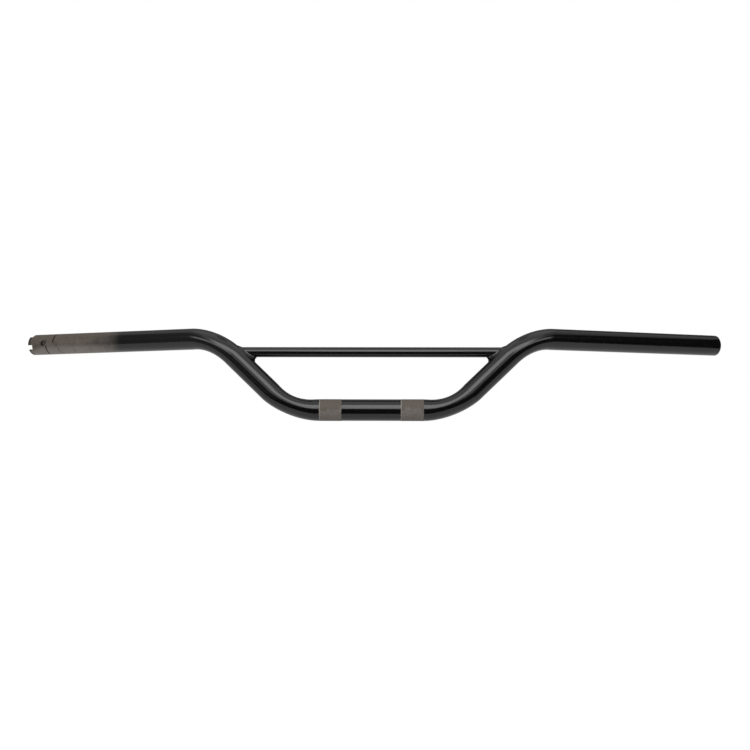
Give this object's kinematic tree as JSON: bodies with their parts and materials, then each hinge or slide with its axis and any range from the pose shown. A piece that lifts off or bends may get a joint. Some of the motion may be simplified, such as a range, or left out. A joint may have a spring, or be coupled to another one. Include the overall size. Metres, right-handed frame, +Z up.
{
  "type": "motorcycle handlebar",
  "caption": "Bent steel tube handlebar with swept-back arms, a welded crossbar between its risers, knurled clamp bands and a notched throttle end, for steering and carrying the controls.",
  "frame": {"origin": "middle of the clamp section, on the tube's axis, half way between the two knurled bands", "axes": "+X towards the clutch side, +Y towards the rider, +Z up; the notched throttle end is at -X"},
  "size_m": [0.8746, 0.1934, 0.1097],
  "materials": {
    "black_paint": "satin"
  },
  "bodies": {
    "root": {"handlebar_tube": "black_paint", "crossbar": "black_paint", "clutch_side_weld": "black_paint", "throttle_side_weld": "black_paint"}
  },
  "joints": []
}
